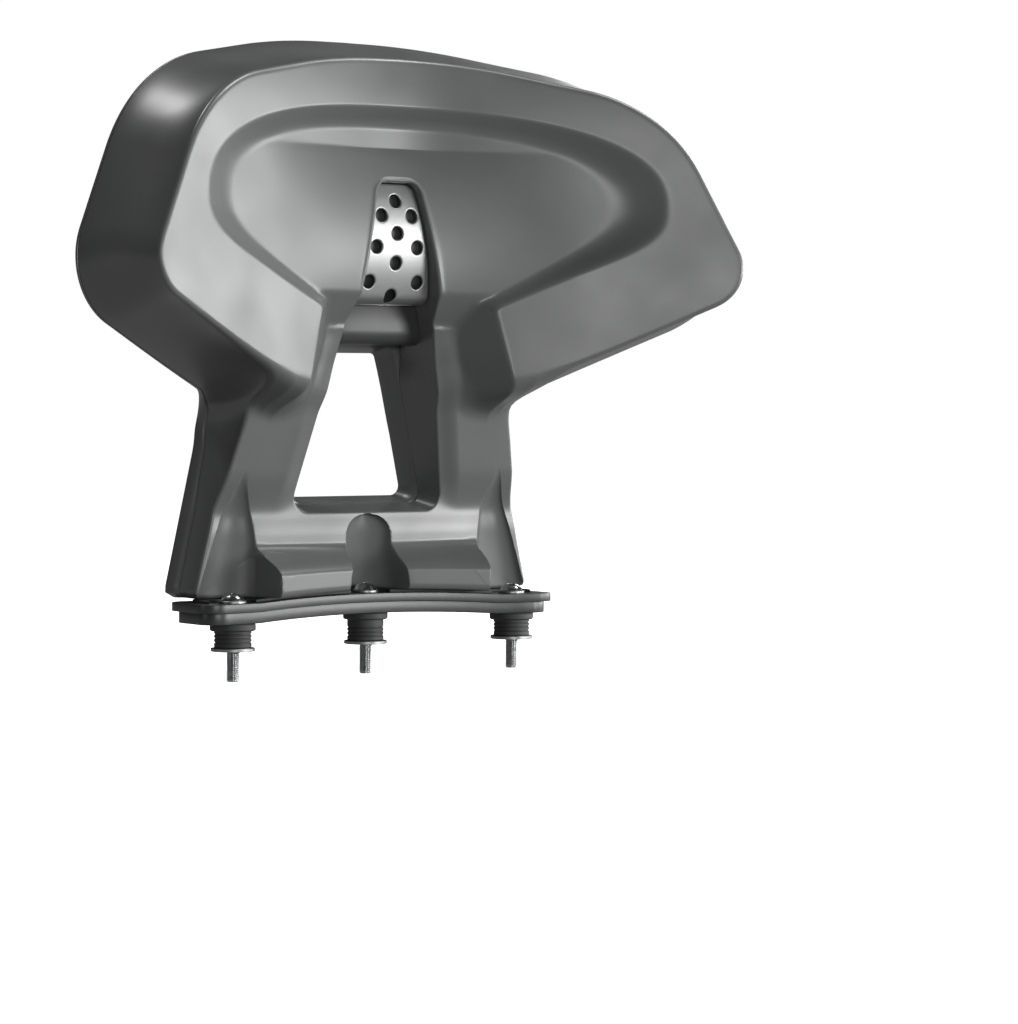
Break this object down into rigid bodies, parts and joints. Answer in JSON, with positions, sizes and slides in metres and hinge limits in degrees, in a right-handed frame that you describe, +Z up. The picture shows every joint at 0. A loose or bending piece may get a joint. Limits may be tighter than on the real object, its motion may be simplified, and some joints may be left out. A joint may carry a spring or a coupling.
{
  "type": "scooter backrest",
  "caption": "Passenger backrest for a scooter: moulded winged pad shell with a recess and an open window, on a bolted base plate with rubber bushes.",
  "frame": {"origin": "midway between the two outer mounting bolts, in the plane on which the mounting bushes stand", "axes": "+Z up, -Y towards the rider, X across the backrest"},
  "size_m": [0.4338, 0.1521, 0.3816],
  "materials": {
    "moulding": "moulded plastic, fine grain, satin",
    "carrier": "moulded plastic, satin",
    "insert": "pressed sheet, satin, clear coated",
    "frame": "black paint on steel",
    "plate": "powder coat on steel",
    "gasket": "sheet rubber",
    "zinc": "zinc plated",
    "blackened": "blackened",
    "bolt": "dark plated, polished",
    "bush": "moulded rubber",
    "spacer": "moulded nylon"
  },
  "bodies": {
    "root": {"front_shell": "moulding", "rear_cover": "moulding", "insert_plate": "insert", "insert_carrier": "carrier", "left_post": "frame", "right_post": "frame", "upper_crossbar": "frame", "lower_crossbar": "frame", "left_wing_arm": "frame", "right_wing_arm": "frame", "base_plate": "plate", "lower_plate": "plate", "foot_gasket": "gasket", "carrier_screws": "zinc", "cover_spacers": "spacer", "cover_screws": "blackened", "shell_screws": "zinc", "mounting_bolts": "bolt", "bolt_washers": "zinc", "mounting_bushes": "bush", "bush_sleeves": "zinc", "bush_washers": "zinc"}
  },
  "joints": []
}
